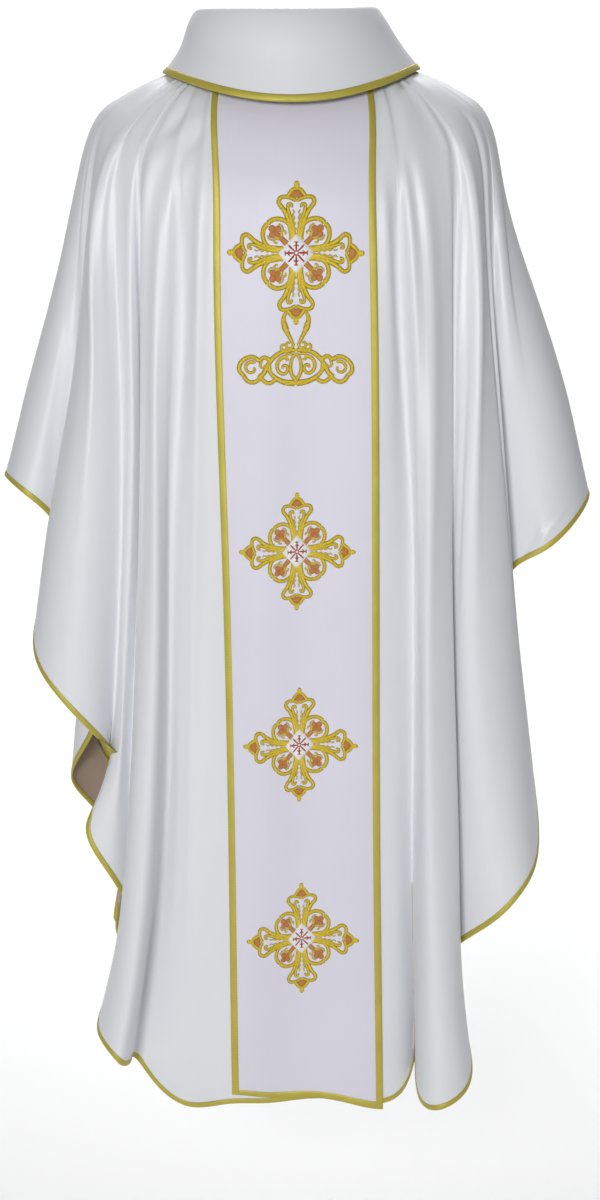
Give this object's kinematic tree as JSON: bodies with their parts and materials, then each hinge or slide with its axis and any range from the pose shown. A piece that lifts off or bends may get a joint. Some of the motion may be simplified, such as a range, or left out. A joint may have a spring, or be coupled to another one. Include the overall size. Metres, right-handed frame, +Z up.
{
  "type": "chasuble",
  "caption": "Priest's chasuble with a turned-down collar, gold-bound edges and a gold-braided orphrey down its front, hanging open and hollow as it is worn",
  "frame": {"origin": "the middle of the neck opening at the height of the shoulder seams, where the wearer's neck and shoulders hold the garment", "axes": "X towards the wearer's left, Y towards the back, Z up; the front with the orphrey faces -Y"},
  "size_m": [0.7738, 0.4328, 1.4383],
  "materials": {
    "satin": "white polyester satin with a soft sheen",
    "orphrey_satin": "slightly lavender white satin under gold satin-stitch embroidery",
    "gold": "pale gold woven braid and bias binding with a slight metallic sheen"
  },
  "bodies": {
    "root": {"front_panel": "satin", "front_hem_binding": "gold", "back_panel": "satin", "back_hem_binding": "gold", "orphrey": "orphrey_satin", "orphrey_braid_right": "gold", "orphrey_braid_left": "gold", "orphrey_braid_foot": "gold", "collar": "satin", "collar_binding": "gold"}
  },
  "joints": []
}
